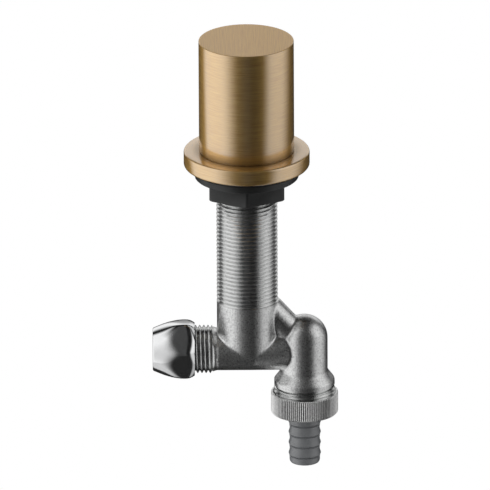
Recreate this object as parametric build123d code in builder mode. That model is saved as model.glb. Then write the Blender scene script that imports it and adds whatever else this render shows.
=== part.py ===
"""Deck-mounted shut-off valve with a cylinder handle, compression inlet and hose outlet.

Lengths are in millimetres. +Z runs up the spindle, and the origin is on the spindle's axis
at the underside of the rosette, where the worktop's surface lies. The inlet points to -X and
the outlet hangs at +X. Outside threads are rings at their true pitch and depth, without the
helix, and inside threads are plain bores that clear them.
"""

from build123d import *
from math import cos, pi, radians, sin, sqrt, tan
import os

# Standard threads and the pipe that the inlet takes
thread_pitch = 1.814
thread_depth = 1.162
thread_crest = 0.3
shank_diameter = 26.44
outlet_thread_diameter = 26.44
inlet_thread_diameter = 20.955
pipe_diameter = 15.0

# Clearances
thread_clearance = 0.05
running_clearance = 0.05
pipe_clearance = 0.05
seat_clearance = 0.3

# Handle
handle_diameter = 41.1
handle_height = 49.95
handle_gap = 0.25
handle_edge = 0.3
handle_foot_round = 0.5
handle_cavity_diameter = 35.0
handle_cavity_depth = 23.0
insert_diameter = 11.0
insert_length = 14.0
grub_screw_diameter = 5.0
grub_screw_recess = 3.2
grub_screw_socket = 2.5
grub_screw_socket_depth = 2.8

# Rosette, gasket, clamp washer and clamp nut
rosette_diameter = 54.4
rosette_height = 7.05
rosette_edge = 0.5
clamp_diameter = 45.0
gasket_thickness = 2.0
washer_thickness = 2.95
washer_edge = 0.5
clamp_nut_flats = 32.4
clamp_nut_height = 8.3
clamp_nut_chamfer = 0.7
clamp_nut_chamfer_height = 0.35

# Cast body: shank, barrel and the horizontal run below them
shank_stand = 5.9
shank_thread_length = 65.8
run_depth = 85.15
shank_wall = 2.67
chamber_diameter = 19.2
seat_height = 7.65
seat_bore = 11.0
run_width = 26.5
run_height = 17.0
run_full_left = 13.3
run_full_right = 2.5
run_end_x = 19.0
run_end_width = 16.8
run_end_height = 18.7
run_bore = 12.0
run_bore_reach = 6.0
cast_fillet = 1.0
drill_point_angle = 118.0

# Inlet branch
inlet_neck_diameter = 18.5
inlet_neck_x = 15.3
inlet_thread_length = 17.7
socket_depth = 11.5
olive_cone_angle = 30.0

# Slanting tube from the barrel to the outlet
slant_angle = 42.0
slant_diameter = 13.5
slant_bore = 9.0
slant_start = 28.4
slant_bore_inset = 4.8

# Outlet branch
outlet_x = 24.6
outlet_diameter = 20.2
dome_rise = 5.35
outlet_bore = 15.0
neck_drop = 10.35
shoulder_relief = 0.12
shoulder_height = 4.5
shoulder_bulge = 0.55
collar_height = 1.2
undercut_depth = 1.3
undercut_height = 0.8
outlet_thread_length = 6.35
valve_pocket_wall = 3.92
valve_pocket_depth = 12.0

# Compression nut and olive
nut_flats = 24.0
nut_length = 18.2
nut_nose_diameter = 18.4
nut_nose_length = 10.7
nut_nose_edge = 0.5
nut_nose_rise = 0.25
nut_end_diameter = 21.8
nut_end_chamfer = 3.4
nut_turn = 49.0
nut_lip = 4.66
olive_wall = 1.35
olive_tip_wall = 0.3
olive_land = 1.0

# Union nut, sealing washer and hose nozzle
union_wall = 1.28
union_height = 9.35
union_lip = 2.0
union_chamfer = 0.5
union_mouth = 0.6
knurl_teeth = 84
knurl_depth = 0.4
seal_thickness = 1.5
seal_bore = 15.6
flange_play = 0.72
flange_thickness = 2.2
nozzle_diameter = 14.0
nozzle_valley = 13.3
nozzle_neck_diameter = 13.9
nozzle_bore = 10.0
nozzle_neck = 7.25
barb_pitch = 4.85
barb_count = 4
barb_step = 0.7
barb_land = 0.5
nozzle_tip = 3.6
nozzle_tip_diameter = 12.4
nozzle_tip_round = 0.9

# Headwork: guide bush, spindle and cartridge with two ceramic discs
spindle_diameter = 8.0
spindle_top = 44.0
spline_teeth = 20
spline_depth = 0.45
bush_length = 14.0
bush_flats = 21.0
bush_head = 3.0
o_ring_section = 1.8
o_ring_groove_width = 2.4
o_ring_squeeze = 0.1
circlip_thickness = 0.9
circlip_wall = 1.6
circlip_groove = 0.6
circlip_gap = 3.0
cartridge_ledge_drop = 1.25
cartridge_thread_length = 9.0
cartridge_gasket_thickness = 1.0
cartridge_head_flats = 17.0
cartridge_head = 4.0
sleeve_diameter = 17.0
sleeve_wall = 1.3
sleeve_stand = 1.5
window_width = 11.0
window_height = 5.5
disc_thickness = 2.5
disc_passage_angle = 80.0
disc_passage_inner = 3.2
disc_rim = 1.1
drive_width = 4.6
drive_height = 6.0
drive_lug = 0.8
seal_ring_thickness = 3.0
seal_ring_wall = 1.6

# Check valve in the outlet
check_wall = 1.5
check_top = 2.6
check_port = 10.0
check_rib_height = 1.6
check_rib_width = 1.6
check_ribs = 3
check_hub_diameter = 6.8
check_stem_diameter = 3.0
check_ring_section = 1.5
check_ring_groove_width = 1.8
poppet_diameter = 12.6
poppet_thickness = 1.5
spring_diameter = 5.4
spring_wire = 0.6
spring_turns = 4

# Levels and places that follow from the sizes above
run_z = -run_depth
seat_z = run_z + seat_height
handle_foot = rosette_height + handle_gap
nut_top_z = -gasket_thickness - washer_thickness
inlet_end_x = -(inlet_neck_x + inlet_thread_length)
socket_radius = pipe_diameter / 2 + pipe_clearance
outlet_radius = outlet_diameter / 2
dome_z = run_z + dome_rise
neck_z = run_z - neck_drop
collar_z = neck_z - shoulder_height
thread_z = collar_z - collar_height
outlet_end_z = thread_z - undercut_height - outlet_thread_length
outlet_thread_radius = outlet_thread_diameter / 2
body_bore = shank_diameter - 2 * shank_wall
valve_pocket_diameter = outlet_thread_diameter - 2 * valve_pocket_wall
shoulder_radius = outlet_thread_radius - shoulder_relief
run_axis = Axis((0, 0, run_z), (1, 0, 0))
outlet_axis = Axis((outlet_x, 0, 0), (0, 0, 1))


def upright_section(points, centre_x=0.0):
    """Closed half section of (radius, height) points, to be turned round a vertical axis."""
    plane = Plane(origin=(centre_x, 0, 0), x_dir=(1, 0, 0), z_dir=(0, -1, 0))
    with BuildSketch(plane) as section:
        with BuildLine():
            Polyline(*points, close=True)
        make_face()
    return section.sketch


def level_section(points):
    """Closed half section of (x, radius) points, to be turned round the run's axis."""
    plane = Plane(origin=(0, 0, run_z), x_dir=(1, 0, 0), z_dir=(0, -1, 0))
    with BuildSketch(plane) as section:
        with BuildLine():
            Polyline(*points, close=True)
        make_face()
    return section.sketch


def run_section(x, width, height):
    """Oval section across the run at x."""
    plane = Plane(origin=(x, 0, run_z), x_dir=(0, 1, 0), z_dir=(1, 0, 0))
    with BuildSketch(plane) as section:
        Ellipse(width / 2, height / 2)
    return section.sketch


def toothed_disc(plane, tip_radius, depth, teeth):
    """Disc with pointed teeth round its edge, for the knurl and the spline."""
    half_tooth = pi / teeth
    points = []
    for index in range(2 * teeth):
        radius = tip_radius - depth * (index % 2)
        points.append((radius * cos(index * half_tooth), radius * sin(index * half_tooth)))
    with BuildSketch(plane) as disc:
        with BuildLine():
            Polyline(*points, close=True)
        make_face()
    return disc.sketch


def thread_outline(radius, start, length):
    """(radius, distance) points of the rings of a thread, going down from start."""
    points = []
    for turn in range(int(length / thread_pitch)):
        groove_start = start - turn * thread_pitch - thread_crest
        groove_end = start - (turn + 1) * thread_pitch
        points.append((radius, groove_start))
        points.append((radius - thread_depth, (groove_start + groove_end) / 2))
        points.append((radius, groove_end))
    return points


def circle_at(plane, diameter):
    """Round sketch on a plane."""
    with BuildSketch(plane) as disc:
        Circle(diameter / 2)
    return disc.sketch


def hexagon_at(plane, flats, turn=0.0):
    """Hexagon of a given size over its flats, with a corner at the angle turn."""
    with BuildSketch(plane) as hexagon:
        RegularPolygon(flats / sqrt(3), 6, rotation=turn)
    return hexagon.sketch


os.makedirs("parts", exist_ok=True)

# Cast body
slant_start_z = run_z + slant_start
slant_direction = Vector(sin(radians(slant_angle)), 0, -cos(radians(slant_angle)))
slant_length = outlet_x / sin(radians(slant_angle))
slant_plane = Plane(origin=(0, 0, slant_start_z), x_dir=(0, 1, 0), z_dir=slant_direction)
cartridge_ledge_z = slant_start_z - cartridge_ledge_drop
drill_point = run_bore / 2 / tan(radians(drill_point_angle / 2))
undercut_radius = outlet_thread_radius - undercut_depth
thread_start = thread_pitch / 2
thread_chamfer = thread_pitch / 4
outlet_thread_start = thread_z - undercut_height - thread_chamfer
outlet_thread_full = outlet_thread_length - thread_chamfer - thread_start

with BuildPart() as body:
    # Shank and barrel in one turning, threaded from its top down to the barrel.
    shank_radius = shank_diameter / 2
    revolve(
        upright_section(
            [
                (0, shank_stand),
                (shank_radius - thread_chamfer, shank_stand),
                (shank_radius, shank_stand - thread_chamfer),
                *thread_outline(shank_radius, shank_stand - thread_chamfer, shank_thread_length),
                (shank_radius, run_z),
                (0, run_z),
            ]
        ),
        axis=Axis.Z,
    )
    # The run widens beside the inlet neck, passes under the barrel and tapers to the outlet.
    loft(
        [
            run_section(-inlet_neck_x, inlet_neck_diameter, inlet_neck_diameter),
            run_section(-run_full_left, run_width, run_height),
        ],
        ruled=True,
    )
    loft(
        [
            run_section(-run_full_left, run_width, run_height),
            run_section(run_full_right, run_width, run_height),
        ],
        ruled=True,
    )
    loft(
        [
            run_section(run_full_right, run_width, run_height),
            run_section(run_end_x, run_end_width, run_end_height),
        ],
        ruled=True,
    )
    extrude(circle_at(slant_plane, slant_diameter), amount=slant_length)
    # Outlet tube: a dome on top, and a shoulder above the thread.
    with BuildSketch(Plane(origin=(outlet_x, 0, 0), x_dir=(1, 0, 0), z_dir=(0, -1, 0))):
        with BuildLine():
            CenterArc((0, dome_z), outlet_radius, 0, 90)
            Line((outlet_radius, dome_z), (outlet_radius, neck_z))
            Spline(
                (outlet_radius, neck_z),
                ((outlet_radius + shoulder_radius) / 2, (neck_z + collar_z) / 2 + shoulder_bulge),
                (shoulder_radius, collar_z),
                tangents=((0, -1), (0, -1)),
            )
            Polyline(
                (shoulder_radius, collar_z),
                (shoulder_radius, thread_z),
                (undercut_radius, thread_z),
                (undercut_radius, thread_z - undercut_height),
                (outlet_thread_radius - thread_chamfer, thread_z - undercut_height),
                (outlet_thread_radius, outlet_thread_start),
                *thread_outline(outlet_thread_radius, outlet_thread_start, outlet_thread_full),
                (outlet_thread_radius, outlet_end_z + thread_start),
                (outlet_thread_radius - thread_start, outlet_end_z),
                (0, outlet_end_z),
                (0, dome_z + outlet_radius),
            )
        make_face()
    revolve(axis=outlet_axis)
    # Casting fillets round both ends of the slanting tube.
    creases = body.edges().filter_by(GeomType.BSPLINE)
    fillet(creases.filter_by_position(Axis.Z, dome_z + outlet_radius / 2, 0), radius=cast_fillet)
    # Inlet thread, chamfered at both ends.
    inlet_radius = inlet_thread_diameter / 2
    inlet_thread_start = -inlet_neck_x - thread_start
    inlet_thread_full = inlet_thread_length - 2 * thread_start
    inlet_rings = thread_outline(inlet_radius, inlet_thread_start, inlet_thread_full)
    revolve(
        level_section(
            [
                (inlet_end_x, 0),
                (inlet_end_x, inlet_radius - thread_start),
                (inlet_end_x + thread_start, inlet_radius),
                *[(x, radius) for radius, x in reversed(inlet_rings)],
                (inlet_thread_start, inlet_radius),
                (-inlet_neck_x, inlet_neck_diameter / 2),
                (-inlet_neck_x, 0),
            ]
        ),
        axis=run_axis,
    )
    # Bore of the shank, the cartridge's ledge and chamber, and the seat bore.
    revolve(
        upright_section(
            [
                (0, shank_stand),
                (body_bore / 2, shank_stand),
                (body_bore / 2, cartridge_ledge_z),
                (chamber_diameter / 2, cartridge_ledge_z),
                (chamber_diameter / 2, seat_z),
                (seat_bore / 2, seat_z),
                (seat_bore / 2, run_z),
                (0, run_z),
            ]
        ),
        axis=Axis.Z,
        mode=Mode.SUBTRACT,
    )
    # Pipe socket, with the olive's cone at its mouth, and the drilled run.
    revolve(
        level_section(
            [
                (inlet_end_x, 0),
                (inlet_end_x, socket_radius + olive_wall),
                (inlet_end_x + olive_wall / tan(radians(olive_cone_angle)), socket_radius),
                (inlet_end_x + socket_depth, socket_radius),
                (inlet_end_x + socket_depth, run_bore / 2),
                (run_bore_reach, run_bore / 2),
                (run_bore_reach + drill_point, 0),
            ]
        ),
        axis=run_axis,
        mode=Mode.SUBTRACT,
    )
    # Slanting bore into the outlet, the outlet's domed bore and the check valve's pocket.
    slant_bore_start = slant_plane.offset(slant_bore_inset)
    slant_bore_length = slant_length - slant_bore_inset
    extrude(circle_at(slant_bore_start, slant_bore), amount=slant_bore_length, mode=Mode.SUBTRACT)
    with BuildSketch(Plane(origin=(outlet_x, 0, 0), x_dir=(1, 0, 0), z_dir=(0, -1, 0))):
        with BuildLine():
            CenterArc((0, dome_z), outlet_bore / 2, 0, 90)
            Polyline(
                (outlet_bore / 2, dome_z),
                (outlet_bore / 2, outlet_end_z + valve_pocket_depth),
                (valve_pocket_diameter / 2, outlet_end_z + valve_pocket_depth),
                (valve_pocket_diameter / 2, outlet_end_z),
                (0, outlet_end_z),
                (0, dome_z + outlet_bore / 2),
            )
        make_face()
    revolve(axis=outlet_axis, mode=Mode.SUBTRACT)
body.part.label = "body"
export_step(body.part, "parts/body.step")

# Rosette on the shank, with the gasket, washer and nut that clamp it to the worktop
on_shank = shank_diameter + 2 * thread_clearance
clamp_nut_foot = nut_top_z - clamp_nut_height
clamp_nut_edge = clamp_nut_flats / sqrt(3) - clamp_nut_chamfer

with BuildPart() as rosette:
    extrude(circle_at(Plane.XY, rosette_diameter), amount=rosette_height)
    fillet(rosette.edges().filter_by(GeomType.CIRCLE), radius=rosette_edge)
    extrude(circle_at(Plane.XY, on_shank), amount=rosette_height, mode=Mode.SUBTRACT)
rosette.part.label = "rosette"
export_step(rosette.part, "parts/rosette.step")

with BuildPart() as rosette_gasket:
    extrude(circle_at(Plane.XY, clamp_diameter), amount=-gasket_thickness)
    extrude(circle_at(Plane.XY, on_shank), amount=-gasket_thickness, mode=Mode.SUBTRACT)
rosette_gasket.part.label = "rosette_gasket"
export_step(rosette_gasket.part, "parts/rosette_gasket.step")

washer_plane = Plane.XY.offset(-gasket_thickness)
with BuildPart() as clamp_washer:
    extrude(circle_at(washer_plane, clamp_diameter), amount=-washer_thickness)
    lower_rim = clamp_washer.edges().filter_by(GeomType.CIRCLE).sort_by(Axis.Z)[0]
    fillet(lower_rim, radius=washer_edge)
    extrude(circle_at(washer_plane, on_shank), amount=-washer_thickness, mode=Mode.SUBTRACT)
clamp_washer.part.label = "clamp_washer"
export_step(clamp_washer.part, "parts/clamp_washer.step")

nut_plane = Plane.XY.offset(nut_top_z)
with BuildPart() as clamp_nut:
    # A corner of the hexagon points to the front.
    extrude(hexagon_at(nut_plane, clamp_nut_flats, turn=30), amount=-clamp_nut_height)
    revolve(
        upright_section(
            [
                (0, nut_top_z),
                (clamp_nut_edge, nut_top_z),
                (clamp_nut_edge + clamp_nut_chamfer, nut_top_z - clamp_nut_chamfer_height),
                (clamp_nut_edge + clamp_nut_chamfer, clamp_nut_foot + clamp_nut_chamfer_height),
                (clamp_nut_edge, clamp_nut_foot),
                (0, clamp_nut_foot),
            ]
        ),
        axis=Axis.Z,
        mode=Mode.INTERSECT,
    )
    extrude(circle_at(nut_plane, on_shank), amount=-clamp_nut_height, mode=Mode.SUBTRACT)
clamp_nut.part.label = "clamp_nut"
export_step(clamp_nut.part, "parts/clamp_nut.step")

# Guide bush screwed into the top of the shank, its hexagon head inside the handle
bush_top = shank_stand + bush_head
bush_plane = Plane.XY.offset(shank_stand)
spindle_bore = spindle_diameter + 2 * running_clearance
o_ring_z = shank_stand - bush_length / 2

with BuildPart() as guide_bush:
    extrude(hexagon_at(bush_plane, bush_flats), amount=bush_head)
    extrude(circle_at(bush_plane, body_bore - 2 * thread_clearance), amount=-bush_length)
    bush_hole = circle_at(Plane.XY.offset(bush_top), spindle_bore)
    extrude(bush_hole, amount=-bush_head - bush_length, mode=Mode.SUBTRACT)
guide_bush.part.label = "guide_bush"
export_step(guide_bush.part, "parts/guide_bush.step")

# Cartridge: a housing screwed down on a ledge in the barrel, over two ceramic discs
cartridge_foot = cartridge_ledge_z + cartridge_gasket_thickness
cartridge_thread_top = cartridge_foot + cartridge_thread_length
cartridge_top = cartridge_thread_top + cartridge_head
sleeve_foot = seat_z + sleeve_stand
sleeve_bore = sleeve_diameter - 2 * sleeve_wall
disc_diameter = sleeve_bore - 2 * running_clearance
stator_foot = seat_z + seal_ring_thickness
rotor_foot = stator_foot + disc_thickness
rotor_top = rotor_foot + disc_thickness
drive_top = rotor_top + drive_height
sleeve_roof = drive_top + seat_clearance
window_foot = rotor_top - seat_clearance

with BuildPart() as cartridge_housing:
    cartridge_thread_plane = Plane.XY.offset(cartridge_foot)
    thread_disc = circle_at(cartridge_thread_plane, body_bore - 2 * thread_clearance)
    extrude(thread_disc, amount=cartridge_thread_length)
    head_plane = Plane.XY.offset(cartridge_thread_top)
    extrude(hexagon_at(head_plane, cartridge_head_flats), amount=cartridge_head)
    sleeve_plane = Plane.XY.offset(sleeve_foot)
    extrude(circle_at(sleeve_plane, sleeve_diameter), amount=cartridge_foot - sleeve_foot)
    extrude(circle_at(sleeve_plane, sleeve_bore), amount=sleeve_roof - sleeve_foot, mode=Mode.SUBTRACT)
    shaft_hole = circle_at(sleeve_plane, spindle_bore)
    extrude(shaft_hole, amount=cartridge_top - sleeve_foot, mode=Mode.SUBTRACT)
    # Two windows let the water out towards the barrel's wall.
    with BuildSketch(Plane.XY.offset(window_foot)):
        Rectangle(sleeve_diameter, window_width)
    extrude(amount=window_height, mode=Mode.SUBTRACT)
cartridge_housing.part.label = "cartridge_housing"
export_step(cartridge_housing.part, "parts/cartridge_housing.step")

with BuildPart() as cartridge_gasket:
    ledge_plane = Plane.XY.offset(cartridge_ledge_z)
    extrude(circle_at(ledge_plane, body_bore - 2 * thread_clearance), amount=cartridge_gasket_thickness)
    gasket_hole = circle_at(ledge_plane, sleeve_diameter + 2 * thread_clearance)
    extrude(gasket_hole, amount=cartridge_gasket_thickness, mode=Mode.SUBTRACT)
cartridge_gasket.part.label = "cartridge_gasket"
export_step(cartridge_gasket.part, "parts/cartridge_gasket.step")

with BuildPart() as seat_seal:
    seal_plane = Plane.XY.offset(seat_z)
    extrude(circle_at(seal_plane, disc_diameter), amount=seal_ring_thickness)
    seal_hole = circle_at(seal_plane, disc_diameter - 2 * seal_ring_wall)
    extrude(seal_hole, amount=seal_ring_thickness, mode=Mode.SUBTRACT)
seat_seal.part.label = "seat_seal"
export_step(seat_seal.part, "parts/seat_seal.step")


def polar_point(radius, angle):
    """Point at a radius and an angle in degrees."""
    return (radius * cos(radians(angle)), radius * sin(radians(angle)))


def disc_passages(plane, turn):
    """Two opposite ring sectors through a ceramic disc, the first centred on the angle turn."""
    inner = disc_passage_inner
    outer = disc_diameter / 2 - disc_rim
    half = disc_passage_angle / 2
    with BuildSketch(plane) as passages:
        for side in (turn, turn + 180):
            with BuildLine():
                CenterArc((0, 0), outer, side - half, 2 * half)
                CenterArc((0, 0), inner, side - half, 2 * half)
                Line(polar_point(inner, side - half), polar_point(outer, side - half))
                Line(polar_point(inner, side + half), polar_point(outer, side + half))
            make_face()
    return passages.sketch


# At rest the passages of the fixed disc lie across those of the turning one: the valve is shut.
with BuildPart() as fixed_disc:
    stator_plane = Plane.XY.offset(stator_foot)
    extrude(circle_at(stator_plane, disc_diameter), amount=disc_thickness)
    extrude(disc_passages(stator_plane, 90), amount=disc_thickness, mode=Mode.SUBTRACT)
fixed_disc.part.label = "fixed_disc"
export_step(fixed_disc.part, "parts/fixed_disc.step")

with BuildPart() as turning_disc:
    rotor_plane = Plane.XY.offset(rotor_foot)
    extrude(circle_at(rotor_plane, disc_diameter), amount=disc_thickness)
    extrude(disc_passages(rotor_plane, 0), amount=disc_thickness, mode=Mode.SUBTRACT)
    # A slot across the top takes the spindle's blade.
    with BuildSketch(Plane.XY.offset(rotor_top)):
        Rectangle(drive_width, disc_diameter)
    extrude(amount=-drive_lug, mode=Mode.SUBTRACT)
turning_disc.part.label = "turning_disc"
export_step(turning_disc.part, "parts/turning_disc.step")

# Spindle: a splined top, a shaft with grooves for its circlip and O-ring, and a drive blade
spindle_radius = spindle_diameter / 2
spline_foot = spindle_top - insert_length
circlip_foot = bush_top + seat_clearance
circlip_groove_radius = spindle_radius - circlip_groove
o_ring_groove_radius = spindle_bore / 2 - o_ring_section + o_ring_squeeze
blade_foot = rotor_top - drive_lug
blade_length = disc_diameter - 2 * seat_clearance

with BuildPart() as spindle:
    spline_plane = Plane.XY.offset(spline_foot)
    extrude(toothed_disc(spline_plane, spindle_radius, spline_depth, spline_teeth), amount=insert_length)
    extrude(circle_at(Plane.XY.offset(drive_top), spindle_diameter), amount=spline_foot - drive_top)
    with BuildSketch(Plane.XY.offset(blade_foot)):
        Circle(blade_length / 2)
        Rectangle(drive_width - 2 * running_clearance, blade_length, mode=Mode.INTERSECT)
    extrude(amount=drive_top - blade_foot)
    for groove_foot, groove_height, groove_radius in (
        (circlip_foot, circlip_thickness + 2 * running_clearance, circlip_groove_radius),
        (o_ring_z - o_ring_groove_width / 2, o_ring_groove_width, o_ring_groove_radius),
    ):
        with BuildSketch(Plane.XY.offset(groove_foot)):
            Circle(spindle_diameter)
            Circle(groove_radius, mode=Mode.SUBTRACT)
        extrude(amount=groove_height, mode=Mode.SUBTRACT)
spindle.part.label = "spindle"
export_step(spindle.part, "parts/spindle.step")

with BuildPart() as spindle_circlip:
    with BuildSketch(Plane.XY.offset(circlip_foot + running_clearance)):
        Circle(spindle_radius + circlip_wall)
        Circle(circlip_groove_radius, mode=Mode.SUBTRACT)
        with Locations((spindle_diameter, 0)):
            Rectangle(2 * spindle_diameter, circlip_gap, mode=Mode.SUBTRACT)
    extrude(amount=circlip_thickness)
spindle_circlip.part.label = "spindle_circlip"
export_step(spindle_circlip.part, "parts/spindle_circlip.step")

with BuildPart() as spindle_o_ring:
    o_ring_radius = (o_ring_section - o_ring_squeeze) / 2 - running_clearance / 2
    with BuildSketch(Plane.XZ):
        with Locations((o_ring_groove_radius + o_ring_radius, o_ring_z)):
            Circle(o_ring_radius)
    revolve(axis=Axis.Z)
spindle_o_ring.part.label = "spindle_o_ring"
export_step(spindle_o_ring.part, "parts/spindle_o_ring.step")

# Handle, its splined insert and the grub screw at the back
insert_foot = spline_foot
insert_top = spindle_top + seat_clearance
screw_z = (insert_foot + insert_top) / 2
screw_start_y = insert_diameter / 2 + running_clearance
grub_screw_length = handle_diameter / 2 - grub_screw_recess - screw_start_y

with BuildPart() as handle:
    extrude(circle_at(Plane.XY.offset(handle_foot), handle_diameter), amount=handle_height)
    rims = handle.edges().filter_by(GeomType.CIRCLE).sort_by(Axis.Z)
    chamfer(rims[-1], length=handle_edge)
    fillet(rims[0], radius=handle_foot_round)
    cavity_plane = Plane.XY.offset(handle_foot)
    extrude(circle_at(cavity_plane, handle_cavity_diameter), amount=handle_cavity_depth, mode=Mode.SUBTRACT)
    insert_hole = circle_at(cavity_plane, insert_diameter)
    extrude(insert_hole, amount=insert_top - handle_foot, mode=Mode.SUBTRACT)
    screw_plane = Plane(origin=(0, 0, screw_z), x_dir=(1, 0, 0), z_dir=(0, 1, 0))
    screw_hole = circle_at(screw_plane, grub_screw_diameter + 2 * thread_clearance)
    extrude(screw_hole, amount=handle_diameter, mode=Mode.SUBTRACT)
handle.part.label = "handle"
export_step(handle.part, "parts/handle.step")

with BuildPart() as handle_insert:
    insert_plane = Plane.XY.offset(insert_foot)
    extrude(circle_at(insert_plane, insert_diameter), amount=insert_top - insert_foot)
    spline_hole = toothed_disc(insert_plane, spindle_radius + running_clearance, spline_depth, spline_teeth)
    extrude(spline_hole, amount=insert_top - insert_foot, mode=Mode.SUBTRACT)
handle_insert.part.label = "handle_insert"
export_step(handle_insert.part, "parts/handle_insert.step")

with BuildPart() as grub_screw:
    grub_plane = screw_plane.offset(screw_start_y)
    extrude(circle_at(grub_plane, grub_screw_diameter), amount=grub_screw_length)
    socket_plane = grub_plane.offset(grub_screw_length)
    socket = hexagon_at(socket_plane, grub_screw_socket)
    extrude(socket, amount=-grub_screw_socket_depth, mode=Mode.SUBTRACT)
grub_screw.part.label = "grub_screw"
export_step(grub_screw.part, "parts/grub_screw.step")

# Olive and compression nut on the inlet
olive_slope = tan(radians(olive_cone_angle))
olive_radius = socket_radius + olive_wall
olive_mid_x = inlet_end_x - olive_land / 2 - running_clearance
olive_half = olive_land / 2 + (olive_wall - olive_tip_wall) / olive_slope
nut_cone_x = olive_mid_x - olive_land / 2 - running_clearance
nut_hole_x = nut_cone_x - olive_wall / olive_slope
nut_outer_x = nut_hole_x - nut_lip
nut_inner_x = nut_outer_x + nut_length
nut_thread_radius = inlet_thread_diameter / 2 + thread_clearance

with BuildPart() as olive:
    revolve(
        level_section(
            [
                (olive_mid_x - olive_half, socket_radius),
                (olive_mid_x - olive_half, socket_radius + olive_tip_wall),
                (olive_mid_x - olive_land / 2, olive_radius),
                (olive_mid_x + olive_land / 2, olive_radius),
                (olive_mid_x + olive_half, socket_radius + olive_tip_wall),
                (olive_mid_x + olive_half, socket_radius),
            ]
        ),
        axis=run_axis,
    )
olive.part.label = "olive"
export_step(olive.part, "parts/olive.step")

with BuildPart() as compression_nut:
    hexagon_plane = Plane(origin=(nut_outer_x, 0, run_z), x_dir=(0, 1, 0), z_dir=(1, 0, 0))
    extrude(hexagon_at(hexagon_plane, nut_flats, turn=nut_turn), amount=nut_length)
    # A long turned nose at the pipe's side and a steep chamfer at the other end.
    nut_corner_radius = nut_flats / sqrt(3)
    nose_radius = nut_nose_diameter / 2
    revolve(
        level_section(
            [
                (nut_outer_x, 0),
                (nut_outer_x, nose_radius - nut_nose_edge),
                (nut_outer_x + nut_nose_edge, nose_radius + nut_nose_rise),
                (nut_outer_x + nut_nose_length, nut_corner_radius),
                (nut_inner_x - nut_end_chamfer, nut_corner_radius),
                (nut_inner_x, nut_end_diameter / 2),
                (nut_inner_x, 0),
            ]
        ),
        axis=run_axis,
        mode=Mode.INTERSECT,
    )
    # Inside: the thread, a step to the olive's cone, and the hole for the pipe.
    revolve(
        level_section(
            [
                (nut_inner_x, 0),
                (nut_inner_x, nut_thread_radius),
                (nut_cone_x, nut_thread_radius),
                (nut_cone_x, olive_radius),
                (nut_hole_x, socket_radius),
                (nut_outer_x, socket_radius),
                (nut_outer_x, 0),
            ]
        ),
        axis=run_axis,
        mode=Mode.SUBTRACT,
    )
compression_nut.part.label = "compression_nut"
export_step(compression_nut.part, "parts/compression_nut.step")

# Check valve, held in the outlet's pocket by the sealing washer
outlet_origin = (outlet_x, 0, 0)
pocket_top = outlet_end_z + valve_pocket_depth
check_radius = valve_pocket_diameter / 2 - running_clearance
check_roof = pocket_top - check_top
check_ring_z = pocket_top - check_top / 2
check_ring_radius = check_ring_section / 2
check_groove_radius = check_radius - check_ring_section + running_clearance
rib_plane = Plane(origin=(outlet_x, 0, outlet_end_z))
cavity_diameter = 2 * (check_radius - check_wall)

with BuildPart() as check_valve_housing:
    extrude(circle_at(rib_plane, 2 * check_radius), amount=valve_pocket_depth)
    extrude(circle_at(rib_plane, cavity_diameter), amount=check_roof - outlet_end_z, mode=Mode.SUBTRACT)
    extrude(circle_at(rib_plane, check_port), amount=valve_pocket_depth, mode=Mode.SUBTRACT)
    with BuildSketch(rib_plane):
        Circle(check_hub_diameter / 2)
        with PolarLocations(0, check_ribs):
            with Locations((cavity_diameter / 4 + check_wall / 4, 0)):
                Rectangle(cavity_diameter / 2 + check_wall / 2, check_rib_width)
    extrude(amount=check_rib_height)
    stem_hole = circle_at(rib_plane, check_stem_diameter + 2 * running_clearance)
    extrude(stem_hole, amount=check_rib_height, mode=Mode.SUBTRACT)
    with BuildSketch(rib_plane.offset(check_ring_z - check_ring_groove_width / 2 - outlet_end_z)):
        Circle(valve_pocket_diameter)
        Circle(check_groove_radius, mode=Mode.SUBTRACT)
    extrude(amount=check_ring_groove_width, mode=Mode.SUBTRACT)
check_valve_housing.part.label = "check_valve_housing"
export_step(check_valve_housing.part, "parts/check_valve_housing.step")

with BuildPart() as check_valve_ring:
    with BuildSketch(Plane(origin=outlet_origin, x_dir=(1, 0, 0), z_dir=(0, -1, 0))):
        with Locations((check_groove_radius + check_ring_radius, check_ring_z)):
            Circle(check_ring_radius)
    revolve(axis=outlet_axis)
check_valve_ring.part.label = "check_valve_ring"
export_step(check_valve_ring.part, "parts/check_valve_ring.step")

poppet_foot = check_roof - poppet_thickness
with BuildPart() as check_valve_poppet:
    poppet_plane = Plane(origin=(outlet_x, 0, check_roof))
    extrude(circle_at(poppet_plane, poppet_diameter), amount=-poppet_thickness)
    stem_length = check_roof - outlet_end_z - running_clearance
    extrude(circle_at(poppet_plane, check_stem_diameter), amount=-stem_length)
check_valve_poppet.part.label = "check_valve_poppet"
export_step(check_valve_poppet.part, "parts/check_valve_poppet.step")

spring_rise = poppet_foot - outlet_end_z - check_rib_height - spring_wire - 2 * running_clearance
spring_foot = outlet_end_z + check_rib_height + spring_wire / 2 + running_clearance
with BuildPart() as check_valve_spring:
    with BuildLine() as coil:
        coil_foot = (outlet_x, 0, spring_foot)
        Helix(spring_rise / spring_turns, spring_rise, spring_diameter / 2, center=coil_foot)
    with BuildSketch(Plane(origin=coil.line @ 0, z_dir=coil.line % 0)):
        Circle(spring_wire / 2)
    sweep(path=coil.line, is_frenet=True)
check_valve_spring.part.label = "check_valve_spring"
export_step(check_valve_spring.part, "parts/check_valve_spring.step")

# Sealing washer, hose nozzle and knurled union nut
seal_foot = outlet_end_z - seal_thickness
flange_foot = seal_foot - flange_thickness
union_foot = flange_foot - union_lip
union_top = union_foot + union_height
union_bore = outlet_thread_radius + thread_clearance
union_radius = union_bore + union_wall
flange_diameter = outlet_thread_diameter - 2 * flange_play
nozzle_radius = nozzle_diameter / 2

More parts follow.
